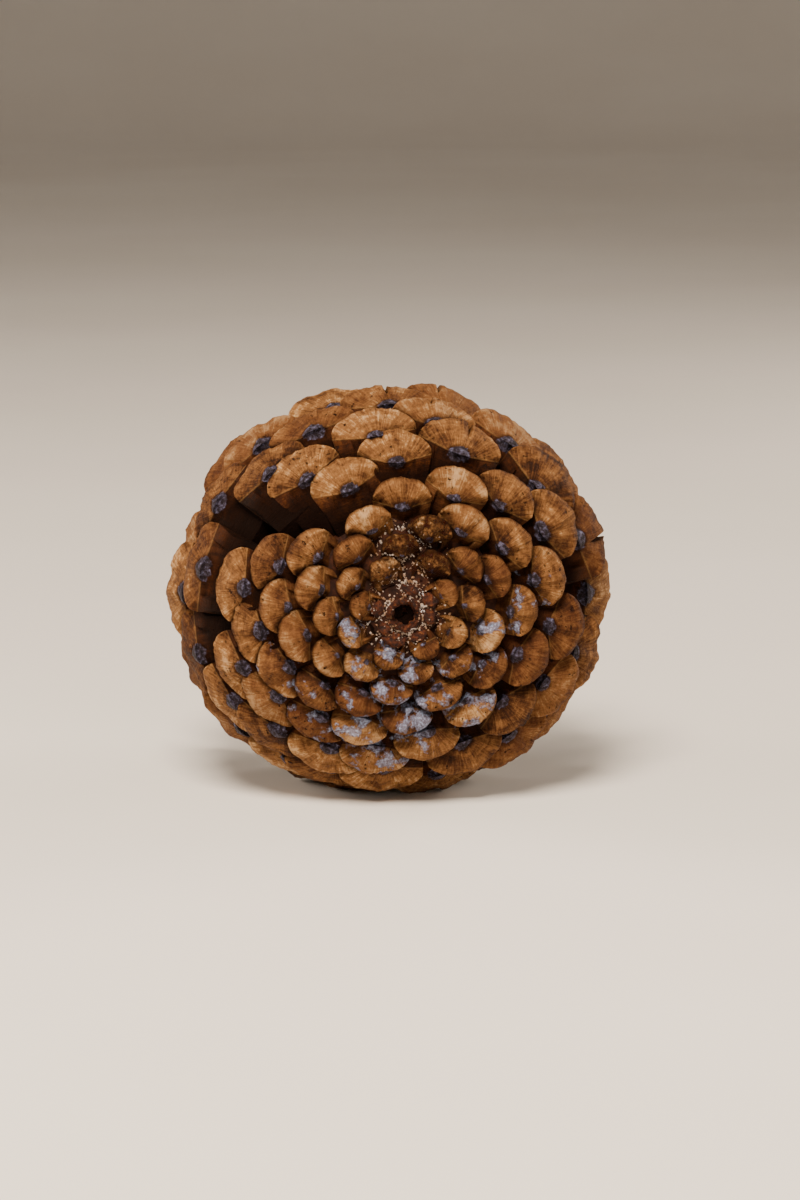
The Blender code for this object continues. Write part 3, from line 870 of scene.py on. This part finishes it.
def makeCrumbs():  # they stay where they are caught, in the hollows between the scales
    bm = bmesh.new()
    chance = random.Random(resinCrumbs["seed"])
    middle = Vector((coneGrowth["lieAt"][0], 0.0, coneGrowth["lieAt"][2]))
    probe = resinCrumbs["probe"]
    for k in range(resinCrumbs["tries"]):
        if k % 3 == 0:
            angle, near, far = resinCrumbs["trail"]
            angle = math.radians(angle + chance.gauss(0.0, resinCrumbs["trailWide"]))
            radius = chance.uniform(near, far)
        else:
            angle = chance.uniform(0.0, math.tau)
            radius = mixed(*resinCrumbs["spread"], chance.random() ** 1.7)
        hit = firstHit(middle, radius, angle)
        around = [firstHit(middle, radius + out, angle + turn / radius)
                  for out, turn in ((probe, 0), (-probe, 0), (0, probe), (0, -probe))]
        if hit is None or None in around:
            continue
        deeper = hit[3] - sum(other[3] for other in around) / 4.0
        if deeper >= resinCrumbs["hollow"] or chance.random() <= resinCrumbs["strays"]:
            addCrumb(bm, chance, *hit[:2])
    return finishPiece(bm, "resin_crumbs", driedResin)


print("turning the axis")
makeAxis()
print("making the scar, the pressed scales and the crumbs")
makeScar()
makePressedScales()
makeCrumbs()

# camera, light and floor, in metres and degrees

cameraPlace = {
    "azimuth": -8.0,
    "elevation": 10.0,
    "distance": 0.70,
    "frameHeight": 0.2013,   # of the picture, at the cone
    "aim": (0.0019, -0.010, 0.0301),
}


def makeCamera():
    data = bpy.data.cameras.new("photoCamera")
    data.lens = data.sensor_width * cameraPlace["distance"] / cameraPlace["frameHeight"]
    data.clip_start = 0.01
    data.clip_end = 20.0
    camera = bpy.data.objects.new("photoCamera", data)
    bpy.context.scene.collection.objects.link(camera)
    turn, lift = math.radians(cameraPlace["azimuth"]), math.radians(cameraPlace["elevation"])
    back = Vector((math.sin(turn) * math.cos(lift), -math.cos(turn) * math.cos(lift), math.sin(lift)))
    camera.location = Vector(cameraPlace["aim"]) + back * cameraPlace["distance"]
    camera.rotation_euler = (-back).to_track_quat("-Z", "Y").to_euler()
    bpy.context.scene.camera = camera


studioLights = {
    "topSoft": {"at": (-0.14, -0.40, 0.58), "size": 0.28, "watts": 11.0, "colour": "#FFEEDA"},
    "frontFill": {"at": (0.45, -0.90, 0.26), "size": 0.70, "watts": 1.1, "colour": "#FFF3E6"},
    "backLeft": {"at": (-0.60, 0.30, 0.25), "size": 0.35, "watts": 3.6, "colour": "#FFEEDC"},
    "backRight": {"at": (0.60, 0.30, 0.25), "size": 0.35, "watts": 3.6, "colour": "#FFEEDC"},
}
studioAir = {"colour": "#F3EEE8", "strength": 0.17}
lampsAimAt = (0.0, 0.0, 0.03)


def makeLights():
    for name, how in studioLights.items():
        data = bpy.data.lights.new(name, "AREA")
        data.shape = "DISK"
        data.size = how["size"]
        data.energy = how["watts"]
        data.color = linear(how["colour"])[:3]
        lamp = bpy.data.objects.new(name, data)
        bpy.context.scene.collection.objects.link(lamp)
        lamp.location = how["at"]
        lamp.rotation_euler = (Vector(lampsAimAt) - lamp.location).to_track_quat("-Z", "Y").to_euler()
    world = bpy.data.worlds.new("studioAir")
    world.use_nodes = True
    air = world.node_tree.nodes["Background"].inputs
    air["Color"].default_value = linear(studioAir["colour"])
    air["Strength"].default_value = studioAir["strength"]
    bpy.context.scene.world = world


studioFloor = {
    "colours": ((0.3, "#E4DED6"), (0.7, "#EAE5DE")),
    "flat": 1.6,     # radius of the level part
    "curve": 0.6,    # radius of the bend up to the wall
    "wall": (1.4, 2.2),
    "steps": 96,
}


def makeFloor():  # a round sheet that curves up all round, so each side has the same backdrop
    # matt pale paper with faint clouds in its shade
    material, tree, shader = emptyMaterial("paleFloor")
    cloud = cloudy(tree, objectPlace(tree), 6.0, 3.0, 0.5)
    tree.links.new(coloured(tree, cloud, studioFloor["colours"]), shader.inputs["Base Color"])
    shader.inputs["Roughness"].default_value = 0.85
    bm = bmesh.new()
    flat, curve = studioFloor["flat"], studioFloor["curve"]
    bends = [math.radians(6.0 * k) for k in range(1, 16)]
    profile = [(0.0, 0.0), (0.4, 0.0), (1.0, 0.0), (flat, 0.0)]
    profile += [(flat + curve * math.sin(bend), curve - curve * math.cos(bend)) for bend in bends]
    profile += [(flat + curve, height) for height in studioFloor["wall"]]
    verts = [bm.verts.new((radius, 0.0, height)) for radius, height in profile]
    edges = [bm.edges.new(pair) for pair in zip(verts, verts[1:])]
    bmesh.ops.spin(
        bm, geom=bm.verts[:] + edges, cent=(0, 0, 0), axis=(0, 0, 1),
        angle=math.tau, steps=studioFloor["steps"], use_merge=True)
    bmesh.ops.remove_doubles(bm, verts=bm.verts, dist=0.0005)
    bmesh.ops.recalc_face_normals(bm, faces=bm.faces)
    for face in bm.faces:
        face.smooth = True
    mesh = bpy.data.meshes.new("floor")
    bm.to_mesh(mesh)
    bm.free()
    mesh.materials.append(material)
    floor = bpy.data.objects.new("floor", mesh)
    bpy.context.scene.collection.objects.link(floor)


print("placing camera, lights and floor")
makeCamera()
makeLights()
makeFloor()
